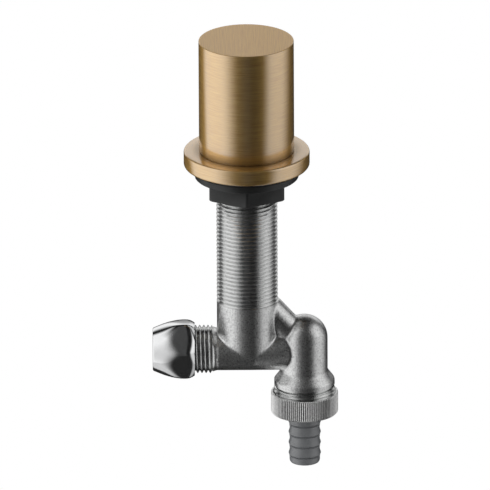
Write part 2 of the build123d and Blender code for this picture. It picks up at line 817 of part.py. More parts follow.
with BuildPart() as nozzle_seal:
    seal_top_plane = Plane(origin=(outlet_x, 0, outlet_end_z))
    extrude(circle_at(seal_top_plane, flange_diameter), amount=-seal_thickness)
    extrude(circle_at(seal_top_plane, seal_bore), amount=-seal_thickness, mode=Mode.SUBTRACT)
nozzle_seal.part.label = "nozzle_seal"
export_step(nozzle_seal.part, "parts/nozzle_seal.step")

first_barb_z = flange_foot - nozzle_neck
last_barb_z = first_barb_z - (barb_count - 1) * barb_pitch
nozzle_foot = last_barb_z - nozzle_tip
nozzle_outline = [
    (nozzle_bore / 2, seal_foot),
    (flange_diameter / 2, seal_foot),
    (flange_diameter / 2, flange_foot),
    (nozzle_neck_diameter / 2, flange_foot),
    (nozzle_neck_diameter / 2, union_foot),
    (nozzle_valley / 2, union_foot - barb_step),
]
for barb in range(barb_count):
    barb_z = first_barb_z - barb * barb_pitch
    nozzle_outline.append((nozzle_valley / 2, barb_z + barb_step))
    nozzle_outline.append((nozzle_radius, barb_z))
    nozzle_outline.append((nozzle_radius, barb_z - barb_land))
nozzle_outline.append((nozzle_tip_diameter / 2, nozzle_foot))
nozzle_outline.append((nozzle_bore / 2, nozzle_foot))

with BuildPart() as hose_nozzle:
    revolve(upright_section(nozzle_outline, outlet_x), axis=outlet_axis)
    tip_edges = hose_nozzle.edges().filter_by(GeomType.CIRCLE).group_by(Axis.Z)[0]
    fillet(tip_edges.sort_by(SortBy.RADIUS)[-1], radius=nozzle_tip_round)
hose_nozzle.part.label = "hose_nozzle"
export_step(hose_nozzle.part, "parts/hose_nozzle.step")

with BuildPart() as union_nut:
    lip_hole = nozzle_radius + seat_clearance
    revolve(
        upright_section(
            [
                (lip_hole, union_foot),
                (union_radius - union_chamfer, union_foot),
                (union_radius, union_foot + union_chamfer),
                (union_radius, union_top - union_chamfer),
                (union_radius - union_chamfer, union_top),
                (union_bore + union_mouth, union_top),
                (union_bore, union_top - union_mouth),
                (union_bore, flange_foot),
                (lip_hole, flange_foot),
            ],
            outlet_x,
        ),
        axis=outlet_axis,
    )
    knurl_plane = Plane(origin=(outlet_x, 0, union_foot))
    knurl = toothed_disc(knurl_plane, union_radius, knurl_depth, knurl_teeth)
    extrude(knurl, amount=union_height, mode=Mode.INTERSECT)
union_nut.part.label = "union_nut"
export_step(union_nut.part, "parts/union_nut.step")
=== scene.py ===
"""Shut-off valve with a brushed cylinder handle: its visible pieces, finishes and studio."""

import bpy
from math import atan2, cos, exp, log, pi, radians, sin, sqrt
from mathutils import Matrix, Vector


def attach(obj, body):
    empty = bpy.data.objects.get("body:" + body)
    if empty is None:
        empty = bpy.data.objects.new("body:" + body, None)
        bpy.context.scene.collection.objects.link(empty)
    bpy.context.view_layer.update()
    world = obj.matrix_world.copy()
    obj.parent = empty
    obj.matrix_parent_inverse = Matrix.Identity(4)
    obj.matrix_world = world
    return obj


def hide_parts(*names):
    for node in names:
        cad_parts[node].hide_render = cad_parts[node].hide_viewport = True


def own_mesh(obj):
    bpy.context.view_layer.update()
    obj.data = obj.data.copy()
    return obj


MM = 0.001

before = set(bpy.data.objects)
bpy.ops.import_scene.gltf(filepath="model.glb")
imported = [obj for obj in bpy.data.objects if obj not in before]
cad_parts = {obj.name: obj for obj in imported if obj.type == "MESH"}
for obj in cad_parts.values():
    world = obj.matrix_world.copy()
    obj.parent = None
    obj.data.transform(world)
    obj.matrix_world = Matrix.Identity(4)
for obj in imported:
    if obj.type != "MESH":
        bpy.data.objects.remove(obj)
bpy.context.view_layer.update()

# Sizes in millimetres, measured from the spindle's axis or the outlet's
thread_pitch = 1.814
thread_depth = 1.162
shank_radius = 13.22
shank_bore = 10.55
shank_top = 5.9
sliding_hole = 13.27
handle_radius = 20.55
handle_foot = 7.3
handle_top = 57.25
rosette_top = 7.05
barrel_top = -62.2
run_z = -85.15
inlet_thread_radius = 10.4775
inlet_bore = 7.55
inlet_neck_x = -15.3
inlet_end_x = -33.0
outlet_x = 24.6
outlet_bore = 9.3
shoulder_radius = 13.1
collar_cut = -100.7
outlet_thread_top = -102.0
outlet_end = -108.35

# Faces round a turned piece
fine_steps = 256
round_steps = 192
bore_steps = 144
thread_steps = 96

# Distances in metres: two points closer than this are one, and a point this near lies on a cut
weld = 1e-6
on_the_cut = 1e-7


# Modelling helpers


def only(obj):
    """Makes obj the one selected, active object."""
    bpy.ops.object.select_all(action="DESELECT")
    obj.select_set(True)
    bpy.context.view_layer.objects.active = obj


def edit(obj, chosen="SELECT"):
    """Opens obj in edit mode, with all or none of it selected."""
    only(obj)
    bpy.ops.object.mode_set(mode="EDIT")
    bpy.ops.mesh.select_mode(type="EDGE")
    bpy.ops.mesh.select_all(action=chosen)


def apply_modifier(obj, kind, **settings):
    """Adds a modifier with these settings and applies it."""
    only(obj)
    modifier = obj.modifiers.new(kind.lower(), kind)
    for key, value in settings.items():
        setattr(modifier, key, value)
    bpy.ops.object.modifier_apply(modifier=modifier.name)


def moved(obj, location=(0, 0, 0), rotation=(0, 0, 0)):
    """Turns and moves obj, with its own origin back at the frame's."""
    only(obj)
    obj.rotation_euler = rotation
    obj.location = location
    bpy.ops.object.transform_apply(location=True, rotation=True, scale=True)
    return obj


def cut_by(obj, tool, operation="DIFFERENCE"):
    """Boolean of obj with a tool, which is then removed."""
    apply_modifier(obj, "BOOLEAN", operation=operation, solver="EXACT", object=tool)
    bpy.data.objects.remove(tool)


def cut_off(place, direction):
    """In edit mode, takes away what lies past a plane and closes the cut."""
    bpy.ops.mesh.select_all(action="SELECT")
    bpy.ops.mesh.bisect(
        plane_co=place,
        plane_no=direction,
        use_fill=True,
        clear_outer=True,
        threshold=on_the_cut,
    )


def tidy_mesh(obj):
    """Joins doubled points and turns the faces outward."""
    edit(obj)
    bpy.ops.mesh.remove_doubles(threshold=weld)
    bpy.ops.mesh.normals_make_consistent(inside=False)
    bpy.ops.object.mode_set(mode="OBJECT")


def ease(obj, width, segments=3, sharper_than=28):
    """Rounds the edges that are sharper than an angle in degrees."""
    edit(obj, "DESELECT")
    bpy.ops.mesh.edges_select_sharp(sharpness=radians(sharper_than))
    bpy.ops.mesh.bevel(
        offset=width * MM, segments=segments, profile=0.5, affect="EDGES", clamp_overlap=True
    )
    bpy.ops.object.mode_set(mode="OBJECT")


def ease_where(obj, width, segments, wanted):
    """Rounds the edges that are wanted, judged by their lower and upper end in millimetres."""
    edit(obj, "DESELECT")
    bpy.ops.object.mode_set(mode="OBJECT")
    for edge in obj.data.edges:
        ends = (obj.data.vertices[i].co / MM for i in edge.vertices)
        edge.select = wanted(*sorted(ends, key=lambda end: end.z))
    bpy.ops.object.mode_set(mode="EDIT")
    bpy.ops.mesh.bevel(offset=width * MM, segments=segments, affect="EDGES")
    bpy.ops.object.mode_set(mode="OBJECT")


def turned(name, profile, centre_x=0.0, steps=round_steps):
    """Turned piece: a ring is drawn along its (radius, height) profile round a vertical axis."""
    bpy.ops.object.select_all(action="DESELECT")
    radius, height = profile[0]
    bpy.ops.mesh.primitive_circle_add(
        vertices=steps, radius=radius * MM, location=(centre_x * MM, 0, height * MM)
    )
    obj = bpy.context.object
    obj.name = name
    bpy.ops.object.transform_apply(location=True, rotation=True, scale=True)
    edit(obj)
    for (r0, z0), (r1, z1) in zip(profile, profile[1:]):
        bpy.ops.mesh.extrude_edges_move(TRANSFORM_OT_translate={"value": (0, 0, (z1 - z0) * MM)})
        if r1 != r0:
            centre = (centre_x * MM, 0, z1 * MM)
            bpy.ops.transform.resize(value=(r1 / r0, r1 / r0, 1), center_override=centre)
    bpy.ops.mesh.select_all(action="SELECT")
    bpy.ops.mesh.remove_doubles(threshold=weld)
    if profile[0] != profile[-1]:
        bpy.ops.mesh.select_all(action="SELECT")
        bpy.ops.mesh.fill_holes(sides=0)
    bpy.ops.mesh.select_all(action="SELECT")
    bpy.ops.mesh.normals_make_consistent(inside=False)
    bpy.ops.object.mode_set(mode="OBJECT")
    return obj


def flat_ring(name, inner, outer, foot, top, edge):
    """Flat ring with eased edges."""
    profile = [(inner, foot), (outer, foot), (outer, top), (inner, top), (inner, foot)]
    obj = turned(name, profile)
    ease(obj, edge)
    return obj


def rod(radius, start, end, centre_x=0.0, steps=thread_steps):
    """Plain round tool along Z, for cutting holes."""
    return turned("tool", [(radius, start), (radius, end)], centre_x, steps)


def quarter_round(centre_radius, centre_height, radius, start):
    """Profile points of a quarter circle, from a start angle in degrees."""
    angles = [radians(start + 15 * step) for step in range(7)]
    return [(centre_radius + radius * cos(a), centre_height + radius * sin(a)) for a in angles]


def lay_along_run(obj):
    """Turns a piece that was made along Z so that it lies along X on the run's axis."""
    return moved(obj, location=(0, 0, run_z * MM), rotation=(0, pi / 2, 0))


def threaded(name, radius, foot, top, centre_x=0.0, turn=0.0):
    """Solid right-handed thread: one tooth is screwed up the axis and cut square at both ends."""
    round_depth, round_height = 0.09, 0.17
    root = radius - thread_depth
    half = thread_pitch / 2
    tooth = [
        (radius, 0.0),
        (radius - round_depth, round_height),
        (root + round_depth, half - round_height),
        (root, half),
        (root + round_depth, half + round_height),
        (radius - round_depth, thread_pitch - round_height),
        (radius, thread_pitch),
    ]
    mesh = bpy.data.meshes.new(name)
    across, along = cos(radians(turn)), sin(radians(turn))
    points = [(r * MM * across, r * MM * along, z * MM) for r, z in tooth]
    mesh.from_pydata(points, [(i, i + 1) for i in range(len(tooth) - 1)], [])
    obj = bpy.data.objects.new(name, mesh)
    bpy.context.scene.collection.objects.link(obj)
    apply_modifier(
        obj,
        "SCREW",
        axis="Z",
        angle=2 * pi,
        screw_offset=thread_pitch * MM,
        iterations=int((top - foot) / thread_pitch) + 4,
        steps=thread_steps,
        render_steps=thread_steps,
        use_merge_vertices=True,
        merge_threshold=weld,
        use_smooth_shade=True,
    )
    moved(obj, location=(centre_x * MM, 0, (foot - 1.5 * thread_pitch) * MM))
    edit(obj)
    bpy.ops.mesh.remove_doubles(threshold=2 * weld)
    for height, side in ((foot, -1), (top, 1)):
        cut_off((centre_x * MM, 0, height * MM), (0, 0, side))
    bpy.ops.mesh.select_all(action="SELECT")
    bpy.ops.mesh.normals_make_consistent(inside=False)
    bpy.ops.object.mode_set(mode="OBJECT")
    return obj


def copy_of_node(name, node):
    """New piece with a copy of a node's mesh."""
    obj = bpy.data.objects.new(name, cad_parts[node].data.copy())
    bpy.context.scene.collection.objects.link(obj)
    return obj


def joined(first, other):
    """Joins the other piece into the first."""
    only(first)
    other.select_set(True)
    bpy.ops.object.join()
    return first


def finished(obj, body, material, nodes=(), angle=32):
    """Shades a piece, gives it its finish and puts it on its body in place of these nodes."""
    only(obj)
    bpy.ops.object.shade_smooth_by_angle(angle=radians(angle), keep_sharp_edges=False)
    obj.data.materials.clear()
    for one in material if isinstance(material, tuple) else (material,):
        obj.data.materials.append(one)
    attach(obj, body)
    if nodes:
        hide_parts(*nodes)
    return obj


# Node helpers: each adds nodes to a tree and returns what comes out of them


def calc(tree, operation, *values):
    """Math node over numbers and outputs."""
    node = tree.nodes.new("ShaderNodeMath")
    node.operation = operation
    for index, value in enumerate(values):
        if isinstance(value, (int, float)):
            node.inputs[index].default_value = value
        else:
            tree.links.new(value, node.inputs[index])
    return node.outputs[0]


def parts_of(tree, vector):
    """X, Y and Z of a vector."""
    node = tree.nodes.new("ShaderNodeSeparateXYZ")
    tree.links.new(vector, node.inputs[0])
    return node.outputs


def direction_of(tree, vector):
    """X, Y and Z of a vector's direction."""
    node = tree.nodes.new("ShaderNodeVectorMath")
    node.operation = "NORMALIZE"
    tree.links.new(vector, node.inputs[0])
    return parts_of(tree, node.outputs["Vector"])


def length_of(tree, first, second):
    """Length of a vector with these two parts."""
    squares = [calc(tree, "MULTIPLY", part, part) for part in (first, second)]
    return calc(tree, "SQRT", calc(tree, "ADD", *squares))


def step_up(tree, value, start, stop):
    """Smooth step from 0 at start to 1 at stop."""
    node = tree.nodes.new("ShaderNodeMapRange")
    node.interpolation_type = "SMOOTHSTEP"
    node.inputs["From Min"].default_value = start
    node.inputs["From Max"].default_value = stop
    tree.links.new(value, node.inputs["Value"])
    return node.outputs["Result"]


def spread(tree, value, low, high, start=0.3, stop=0.7):
    """Maps a noise value to a range."""
    node = tree.nodes.new("ShaderNodeMapRange")
    node.inputs["From Min"].default_value = start
    node.inputs["From Max"].default_value = stop
    node.inputs["To Min"].default_value = low
    node.inputs["To Max"].default_value = high
    tree.links.new(value, node.inputs["Value"])
    return node.outputs["Result"]


def noise(tree, vector, scale, detail=3.0, rough=0.55):
    """Noise over a vector output."""
    node = tree.nodes.new("ShaderNodeTexNoise")
    node.inputs["Scale"].default_value = scale
    node.inputs["Detail"].default_value = detail
    node.inputs["Roughness"].default_value = rough
    tree.links.new(vector, node.inputs["Vector"])
    return node.outputs["Fac"]


def object_point(tree):
    """Place on the piece, in metres."""
    return tree.nodes.new("ShaderNodeTexCoord").outputs["Object"]


def stretched(tree, vector, scale):
    """Vector scaled by different amounts along each axis."""
    node = tree.nodes.new("ShaderNodeMapping")
    node.inputs["Scale"].default_value = scale
    tree.links.new(vector, node.inputs["Vector"])
    return node.outputs["Vector"]


def mixed(tree, share, first, second):
    """Mixes two colours, each given by its three values or as an output."""
    node = tree.nodes.new("ShaderNodeMix")
    node.data_type = "RGBA"
    tree.links.new(share, node.inputs["Factor"])
    for socket, colour in ((node.inputs[6], first), (node.inputs[7], second)):
        if isinstance(colour, tuple):
            socket.default_value = (*colour, 1)
        else:
            tree.links.new(colour, socket)
    return node.outputs[2]


# Finishes


def finish_of(name, colour, metallic, roughness, **sockets):
    """Starts a material and returns it with its tree and shader."""
    material = bpy.data.materials.new(name)
    material.use_nodes = True
    tree = material.node_tree
    shader = tree.nodes["Principled BSDF"]
    shader.inputs["Base Color"].default_value = (*colour, 1)
    shader.inputs["Metallic"].default_value = metallic
    shader.inputs["Roughness"].default_value = roughness
    for key, value in sockets.items():
        shader.inputs[key.replace("_", " ")].default_value = value
    material.diffuse_color = (*colour, 1)
    return material, tree, shader


def two_tone(tree, value, dark, light, shader):
    """Mixes two colours by a value into the base colour."""
    tree.links.new(mixed(tree, value, dark, light), shader.inputs["Base Color"])


def darkened(tree, share, colour, shader):
    """Turns the base colour that is already there towards another one."""
    base = shader.inputs["Base Color"]
    tree.links.new(mixed(tree, share, base.links[0].from_socket, colour), base)


def roughened(tree, value, shader):
    """Gives the shader a roughness that varies."""
    tree.links.new(value, shader.inputs["Roughness"])


def bump(tree, height, strength, distance, shader):
    """Raises the surface by a height."""
    node = tree.nodes.new("ShaderNodeBump")
    node.inputs["Strength"].default_value = strength
    node.inputs["Distance"].default_value = distance
    tree.links.new(height, node.inputs["Height"])
    tree.links.new(node.outputs["Normal"], shader.inputs["Normal"])


def round_the_axis(tree, around, across):
    """Coordinates with streaks round the spindle: slow along the turn, quick up and outward."""
    point = object_point(tree)
    flat = stretched(tree, point, (1, 1, 0))
    unit = direction_of(tree, flat)
    x, y, _ = parts_of(tree, flat)
    out_and_up = calc(tree, "ADD", parts_of(tree, point)["Z"], length_of(tree, x, y))
    streaks = tree.nodes.new("ShaderNodeCombineXYZ")
    for axis in "XY":
        tree.links.new(calc(tree, "MULTIPLY", unit[axis], around), streaks.inputs[axis])
    tree.links.new(calc(tree, "MULTIPLY", out_and_up, across), streaks.inputs["Z"])
    return streaks.outputs["Vector"]


def painted_foot_shade_mask(tree):
    """Mask of painted shade: 1 in the corner where the handle stands on the rosette, and 0 a few
    millimetres away.
    """
    corner_height, reach = 7.2, 4.6
    x, y, z = parts_of(tree, object_point(tree))
    out = calc(tree, "SUBTRACT", length_of(tree, x, y), handle_radius * MM)
    rise = calc(tree, "SUBTRACT", z, corner_height * MM)
    return step_up(tree, length_of(tree, out, rise), reach * MM, 0.0)


bronze_dark = (0.63, 0.34, 0.08)
bronze_light = (0.85, 0.555, 0.16)
# Colour of the painted shade in the corner where the handle stands on the rosette
bronze_painted_foot_shade = (0.45, 0.29, 0.105)
brush_lines = 2600


def brushed_bronze(name, lacquer, along_y=False):
    """Brushed bronze under thin lacquer, with its brush lines round the axis or along Y; round
    the axis it also gets painted shade, a darker colour and less lacquer, in the corner at the
    handle's foot.
    """
    material, tree, shader = finish_of(
        name, bronze_light, 0.97, 0.4, Coat_Weight=1.0, Coat_Roughness=0.1, Coat_IOR=lacquer
    )
    if along_y:
        lines = stretched(tree, object_point(tree), (brush_lines, 60, brush_lines))
    else:
        lines = round_the_axis(tree, 2.2, brush_lines)
    fine = noise(tree, lines, 1.0, 4.0, 0.65)
    two_tone(tree, spread(tree, fine, 0, 1), bronze_dark, bronze_light, shader)
    if not along_y:
        # Painted shade: the corner at the handle's foot is turned darker and loses half its
        # lacquer
        foot_shade = painted_foot_shade_mask(tree)
        darkened(tree, foot_shade, bronze_painted_foot_shade, shader)
        tree.links.new(calc(tree, "MULTIPLY_ADD", foot_shade, -0.5, 1.0), shader.inputs["Coat Weight"])
    roughened(tree, spread(tree, fine, 0.39, 0.51), shader)
    bump(tree, fine, 0.35, 0.00006, shader)
    return material


def cast_metal(name, dark, light, strength, rough):
    """Plated casting with the fine grain of its mould."""
    material, tree, shader = finish_of(name, light, 1.0, rough)
    point = object_point(tree)
    grain = noise(tree, point, 1700, 2.0, 0.7)
    pores = noise(tree, point, 1300, 3.0, 0.65)
    two_tone(tree, spread(tree, pores, 0, 1, 0.34, 0.56), dark, light, shader)
    roughened(tree, spread(tree, grain, rough, rough + 0.12), shader)
    bump(tree, grain, strength, 0.00014, shader)
    return material


def knurled_metal(name):
    """Speckled metal with painted shade in the hollows of the knurl."""
    material = cast_metal(name, (0.76, 0.76, 0.755), (0.99, 0.99, 0.985), 0.6, 0.3)
    tree = material.node_tree
    # Painted shade: the knurl's grooves are turned nearly black
    knurl_groove_shade = tree.nodes.new("ShaderNodeAttribute")
    knurl_groove_shade.attribute_name = "knurl_groove_shade"
    darkened(tree, knurl_groove_shade.outputs["Fac"], (0.02,) * 3, tree.nodes["Principled BSDF"])
    return material


def machined_metal(name, colour, rough, stained=0.82, marked=0.25):
    """Bright turned metal with faint stains and tool marks."""
    material, tree, shader = finish_of(name, colour, 1.0, rough[0])
    point = object_point(tree)
    marks = noise(tree, stretched(tree, point, (300, 300, 2600)), 1.0, 3.0)
    stain = noise(tree, point, 500, 3.0)
    darker = tuple(stained * c for c in colour)
    two_tone(tree, spread(tree, stain, 0, 1), darker, colour, shader)
    roughened(tree, spread(tree, stain, *rough), shader)
    bump(tree, marks, marked, 0.00004, shader)
    return material


def polished_chrome(name):
    """Polished chrome with the slight haze of handling."""
    material, tree, shader = finish_of(name, (0.86, 0.865, 0.87), 1.0, 0.06)
    point = object_point(tree)
    haze = noise(tree, point, 240, 3.0)
    two_tone(tree, spread(tree, haze, 0, 1), (0.83, 0.835, 0.84), (0.88, 0.885, 0.89), shader)
    roughened(tree, spread(tree, haze, 0.045, 0.10), shader)
    bump(tree, noise(tree, point, 120, 1.0), 0.08, 0.0001, shader)
    return material


def moulded(name, dark, light, rough, grain_scale=1100, strength=0.2, **sockets):
    """Moulded plastic or rubber with a fine grain."""
    material, tree, shader = finish_of(name, light, 0.0, rough, **sockets)
    point = object_point(tree)
    grain = noise(tree, point, grain_scale, 3.0)
    clouds = noise(tree, point, 120, 2.0)
    two_tone(tree, spread(tree, clouds, 0, 1), dark, light, shader)
    roughened(tree, spread(tree, grain, rough - 0.06, rough + 0.08), shader)
    bump(tree, grain, strength, 0.00008, shader)
    return material


# The round-brushed bronze carries the painted shade at the handle's foot, on the handle and on
# the rosette
bronze_round = brushed_bronze("bronze_brushed_round", 3.1)
bronze_top = brushed_bronze("bronze_brushed_along", 1.27, along_y=True)
casting_finish = cast_metal("plated_casting", (0.50,) * 3, (0.78, 0.785, 0.78), 0.5, 0.25)
thread_finish = machined_metal("turned_thread", (0.70, 0.705, 0.70), (0.20, 0.26), 0.93, 0.05)
nut_finish = knurled_metal("satin_union_nut")
chrome_finish = polished_chrome("polished_chrome")
brass_finish = machined_metal("turned_brass", (0.62, 0.45, 0.20), (0.22, 0.36))
steel_finish = machined_metal("bright_steel", (0.55, 0.55, 0.56), (0.20, 0.32))
black_plastic = moulded(
    "black_clamp_plastic", (0.010, 0.011, 0.011), (0.020, 0.021, 0.021), 0.42
)
black_rubber = moulded("black_seal_rubber", (0.008,) * 3, (0.014,) * 3, 0.55)
grey_plastic = moulded(
    "grey_nozzle_plastic", (0.165, 0.170, 0.178), (0.187, 0.193, 0.201), 0.33, IOR=1.75
)
white_plastic = moulded("white_valve_plastic", (0.68, 0.68, 0.66), (0.76, 0.76, 0.74), 0.4)
insert_plastic = moulded("spline_insert_plastic", (0.52, 0.52, 0.49), (0.61, 0.61, 0.58), 0.45)
ceramic = moulded("lapped_ceramic", (0.80, 0.80, 0.77), (0.86, 0.86, 0.83), 0.2, 900, 0.05)

# Handle with its flat brushed top, hollow foot and grub screw hole at the back
spline_radius, spline_end = 5.5, 44.3
hollow_radius, hollow_end = 17.5, 30.3
screw_hole_radius, screw_hole_height = 2.55, 37.15
handle = turned(
    "handle_shell",
    [
        (spline_radius, spline_end),
        (spline_radius, hollow_end),
        (hollow_radius, hollow_end),
        (hollow_radius, handle_foot),
        (handle_radius, handle_foot),
        (handle_radius, handle_top),
    ],
    steps=fine_steps,
)
screw_hole = rod(screw_hole_radius, 0, 30, steps=48)
moved(screw_hole, location=(0, 0, screw_hole_height * MM), rotation=(-pi / 2, 0, 0))
cut_by(handle, screw_hole)
tidy_mesh(handle)


def on_handle_wall(height):
    """Tells which edges lie on the handle's outer wall at a height."""
    return lambda low, high: all(
        abs(end.to_2d().length - handle_radius) < 0.01 and abs(end.z - height) < 0.001
        for end in (low, high)
    )


def is_handle_top(face):
    """Tells whether a face belongs to the handle's flat top."""
    return face.center.z > (handle_top - 0.05) * MM


ease_where(handle, 0.3, 3, on_handle_wall(handle_top))
ease_where(handle, 0.25, 3, on_handle_wall(handle_foot))
# A flat ring inside the top's edge keeps the rounding out of the top's shading.
edit(handle, "DESELECT")
bpy.ops.mesh.select_mode(type="FACE")
bpy.ops.object.mode_set(mode="OBJECT")
for face in handle.data.polygons:
    face.select = face.normal.z > 0.99 and is_handle_top(face)
bpy.ops.object.mode_set(mode="EDIT")
bpy.ops.mesh.inset(thickness=0.3 * MM)
bpy.ops.object.mode_set(mode="OBJECT")
finished(handle, "handle", (bronze_round, bronze_top), ["handle"])
for face in handle.data.polygons:
    face.material_index = int(is_handle_top(face))

# Rosette with a low seat under the handle, its gasket and the clamp's washer
rosette_rim, seat_radius, seat_top = 27.2, 20.2, 7.25
lower_round, upper_round = 1.3, 1.0
rosette = turned(
    "rosette_plate",
    [
        (sliding_hole, 0.0),
        (rosette_rim - lower_round, 0.0),
        *quarter_round(rosette_rim - lower_round, lower_round, lower_round, -90),
        *quarter_round(rosette_rim - upper_round, rosette_top - upper_round, upper_round, 0),
        (seat_radius, rosette_top),
        (seat_radius, seat_top),
        (sliding_hole, seat_top),
        (sliding_hole, 0.0),
    ],
    steps=fine_steps,
)
finished(rosette, "valve", bronze_round, ["rosette"])
washer_radius, washer_top, nut_top, nut_foot = 22.5, -2, -4.95, -13.25
gasket = flat_ring("rosette_seal", sliding_hole, washer_radius, washer_top, 0, 0.15)
finished(gasket, "valve", black_rubber, ["rosette_gasket"])
washer = flat_ring("clamp_ring", sliding_hole, washer_radius, nut_top, washer_top, 0.35)
finished(washer, "valve", black_plastic, ["clamp_washer"])

# Clamp nut with a corner to the front, its corners turned off above and below
across_flats, corner_radius, turned_off, turned_height = 32.4, 18.8, 0.8, 0.45
bpy.ops.object.select_all(action="DESELECT")
bpy.ops.mesh.primitive_cylinder_add(
    vertices=6,
    radius=across_flats / sqrt(3) * MM,
    depth=(nut_top - nut_foot) * MM,
    location=(0, 0, (nut_top + nut_foot) / 2 * MM),
)
clamp_nut = bpy.context.object
clamp_nut.name = "clamp_hexagon"
bpy.ops.object.transform_apply(location=True, rotation=True, scale=True)
corner_tool = turned(
    "tool",
    [
        (corner_radius - turned_off, nut_foot),
        (corner_radius, nut_foot + turned_height),
        (corner_radius, nut_top - turned_height),
        (corner_radius - turned_off, nut_top),
    ],
    steps=bore_steps,
)
cut_by(clamp_nut, corner_tool, "INTERSECT")
cut_by(clamp_nut, rod(sliding_hole, nut_foot - 2, nut_top + 2, steps=bore_steps))
tidy_mesh(clamp_nut)


def is_nut_corner(low, high):
    """Tells whether an edge is one of the clamp nut's six upright corners."""
    upright = (high - low).to_2d().length < 0.01 and (high - low).length > 4
    return upright and low.to_2d().length > 17


ease_where(clamp_nut, 0.5, 1, is_nut_corner)
ease(clamp_nut, 0.18, 2, 40)
finished(clamp_nut, "valve", black_plastic, ["clamp_nut"])

# Shank: a hollow thread that runs out in a short cone at the barrel
run_out_top = barrel_top + 0.9
shank = threaded("shank_thread", shank_radius, barrel_top, shank_top)
cut_by(shank, rod(shank_bore, barrel_top - 3, shank_top + 3, steps=bore_steps))
run_out = turned(
    "thread_run_out",
    [
        (shank_bore, barrel_top),
        (shank_radius, barrel_top),
        (shank_radius - thread_depth, run_out_top),
        (shank_bore, run_out_top),
        (shank_bore, barrel_top),
    ],
)
shank = joined(shank, run_out)
finished(shank, "valve", thread_finish, angle=50)

# Inlet: a hollow thread with the cone that takes the olive
olive_mouth, olive_depth, pipe_stop_x, water_way = 8.9, 2.34, -21.5, 6.0
inlet = threaded("inlet_thread", inlet_thread_radius, inlet_end_x, inlet_neck_x, turn=60)
cut_by(inlet, rod(water_way, inlet_end_x - 2, inlet_neck_x + 2))
pipe_socket = turned(
    "tool",
    [
        (olive_mouth, inlet_end_x - 0.01),
        (inlet_bore, inlet_end_x + olive_depth),
        (inlet_bore, pipe_stop_x),
    ],
    steps=bore_steps,
)
cut_by(inlet, pipe_socket)
lay_along_run(inlet)
finished(inlet, "valve", thread_finish, angle=50)

# Outlet: a hollow thread under a stepped collar
collar_radius, collar_step = 11.92, -101.2
outlet = threaded("outlet_thread", shank_radius, outlet_end, outlet_thread_top, outlet_x, -60)
cut_by(outlet, rod(outlet_bore, outlet_end - 2, outlet_thread_top + 2, centre_x=outlet_x))
collar = turned(
    "outlet_collar",
    [
        (outlet_bore, outlet_thread_top),
        (collar_radius, outlet_thread_top),
        (collar_radius, collar_step),
        (shoulder_radius, collar_step),
        (shoulder_radius, collar_cut),
        (outlet_bore, collar_cut),
        (outlet_bore, outlet_thread_top),
    ],
    centre_x=outlet_x,
)
outlet = joined(outlet, collar)
finished(outlet, "valve", thread_finish, angle=50)

# Casting: barrel, run, slanting tube and domed outlet, with the soft creases of a mould
dome_radius, flare_top, flare_foot = 10.1, -94.9, -99.0
run_end_x, neck_half_width, run_widening = -13.3, 9.25, 4.0
soft_left, soft_foot, soft_top = 13, -102, -93


def cut_ends(obj, barrel_end, neck_end, collar_end):
    """Cuts the casting square across its barrel, inlet neck and outlet collar."""
    edit(obj)
    cut_off((0, 0, barrel_end * MM), (0, 0, 1))
    cut_off((neck_end * MM, 0, 0), (-1, 0, 0))
    cut_off((0, 0, collar_end * MM), (0, 0, -1))
    bpy.ops.object.mode_set(mode="OBJECT")


casting = copy_of_node("valve_casting", "body")
edit(casting)
bpy.ops.mesh.customdata_custom_splitnormals_clear()
bpy.ops.mesh.remove_doubles(threshold=5 * weld)
bpy.ops.object.mode_set(mode="OBJECT")
cut_ends(casting, barrel_top + 8, inlet_neck_x - 4, collar_cut - 3)
apply_modifier(casting, "REMESH", mode="VOXEL", voxel_size=0.4 * MM)
apply_modifier(casting, "SMOOTH", factor=0.5, iterations=12)
for vertex in casting.data.vertices:
    x, y, z = (c / MM for c in vertex.co)
    out = sqrt((x - outlet_x) ** 2 + y * y)
    if collar_cut - 2 < z < flare_top and dome_radius - 1.1 < out < shoulder_radius + 0.5:
        # The shoulder above the outlet's thread widens in one even slope.
        down = min(1.0, (flare_top - z) / (flare_top - flare_foot))
        wanted = dome_radius + (shoulder_radius - dome_radius) * down
        vertex.co.x = (outlet_x + (x - outlet_x) * wanted / out) * MM
        vertex.co.y = y * wanted / out * MM
    elif inlet_neck_x < x < run_end_x and abs(y) > 3:
        # The run's end beside the inlet's neck is a full curve.
        part = (x - inlet_neck_x) / (run_end_x - inlet_neck_x)
        full = (1 - (1 - part) ** 4) ** 0.25
        now = neck_half_width + run_widening * part
        vertex.co.y *= (neck_half_width + run_widening * full) / now
flare = casting.vertex_groups.new(name="flare")
flare_points = [
    v.index
    for v in casting.data.vertices
    if v.co.x > soft_left * MM and soft_foot * MM < v.co.z < soft_top * MM
]
flare.add(flare_points, 1.0, "REPLACE")
apply_modifier(casting, "SMOOTH", factor=0.5, iterations=10, vertex_group="flare")
cut_ends(casting, barrel_top, inlet_neck_x, collar_cut)
finished(casting, "valve", casting_finish, ["body"], angle=60)

# Compression nut: a polished hexagon whose flats run softly into a long nose and a chamfer
nut_start, nut_end, flat_reach = -41.098, -22.898, 12.0
nose_start, nose_radius, nose_slope = nut_start + 0.5, 9.45, 0.4316
chamfer_radius, chamfer_slope = 12.0, 1.15
nut_thread_radius, nut_thread_end, nut_cone_end = 10.53, -34.1, -36.438
flat_middles = [radians(41 + 60 * k) for k in range(6)]


def soft_least(values, softness):
    """Smallest of the values, rounded where two of them meet."""
    least = min(values)
    return least - softness * log(sum(exp(-(v - least) / softness) for v in values))


def nut_radius(angle, x):
    """Outer radius of the compression nut at an angle round the run and a place along it."""
    flats = [flat_reach / cos(angle - m) for m in flat_middles if cos(angle - m) > 0.3]
    hexagon = soft_least(flats, 0.36) + 0.12
    nose = nose_radius + (x - nose_start) * nose_slope
    chamfer = chamfer_radius + (nut_end - x) * chamfer_slope
    return soft_least([soft_least([hexagon, nose], 0.7), chamfer], 1.05)


